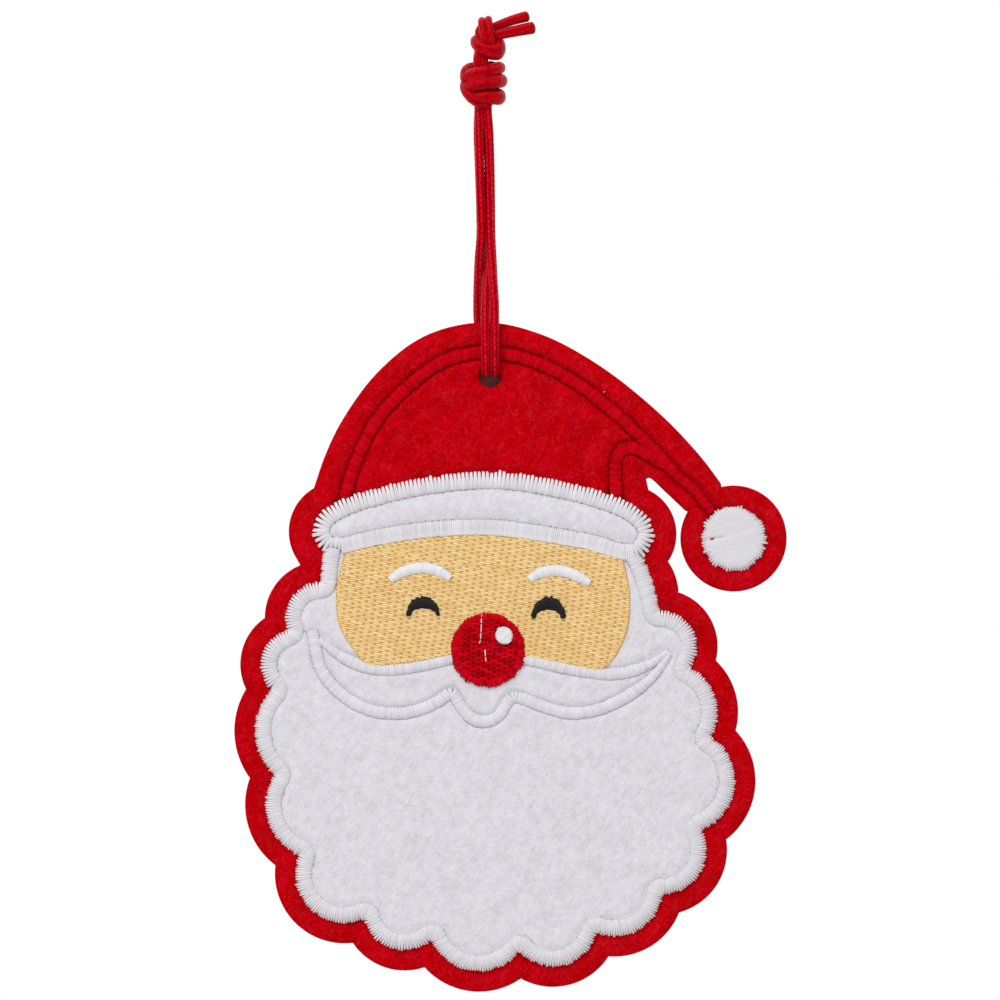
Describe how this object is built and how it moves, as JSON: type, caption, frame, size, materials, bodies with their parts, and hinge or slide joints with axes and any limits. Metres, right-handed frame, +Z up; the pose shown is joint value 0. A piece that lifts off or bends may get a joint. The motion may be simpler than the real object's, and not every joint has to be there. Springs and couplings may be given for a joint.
{
  "type": "felt christmas ornament",
  "caption": "Flat felt hanging ornament shaped as a bearded face in a pointed hat, with embroidered details and a knotted hanging cord.",
  "frame": {"origin": "hang point: crown of the cord loop, on the underside of the barrel knot", "axes": "+Z up as it hangs, the embroidered face looks along -Y, +X to the viewer's right"},
  "size_m": [0.1104, 0.0096, 0.1961],
  "materials": {
    "red_felt": "soft matted wool-like felt, matte",
    "white_felt": "soft matted felt, matte",
    "backing": "thin grey nonwoven embroidery backing",
    "white_thread": "embroidery thread with a soft sheen",
    "red_thread": "embroidery thread with a soft sheen",
    "tan_thread": "embroidery thread with a soft sheen",
    "black_thread": "embroidery thread with a soft sheen",
    "red_cord": "fine braided cord with a soft sheen"
  },
  "bodies": {
    "hanger": {"knot_core": "red_cord", "barrel_knot": "red_cord", "end_knot": "red_cord", "cord_tail_upper": "red_cord", "cord_tail_lower": "red_cord"},
    "loop": {"cord_loop_left": "red_cord", "cord_loop_right": "red_cord"},
    "ornament": {"front_felt": "red_felt", "back_felt": "red_felt", "stabiliser": "backing", "beard_felt": "white_felt", "trim_felt": "white_felt", "beard_border": "white_thread", "trim_border": "white_thread", "face_fill": "tan_thread", "brow_left": "white_thread", "brow_right": "white_thread", "eye_left": "black_thread", "eye_right": "black_thread", "nose_rim": "red_thread", "nose_fill": "red_thread", "nose_highlight": "white_thread", "moustache_upper_left": "white_thread", "moustache_upper_right": "white_thread", "moustache_lower": "white_thread", "hat_ridge": "red_thread", "hat_fold": "red_thread", "pompom_fill": "white_thread"}
  },
  "joints": [
    {"name": "loop_sway", "type": "hinge", "parent": "hanger", "child": "loop", "pos_m": [0, 0, 0], "axis": [1, 0, 0], "range_deg": [-20, 20]},
    {"name": "ornament_swing", "type": "hinge", "parent": "loop", "child": "ornament", "pos_m": [0.0012, 0, -0.05375], "axis": [0, -1, 0], "range_deg": [-45, 45]}
  ]
}
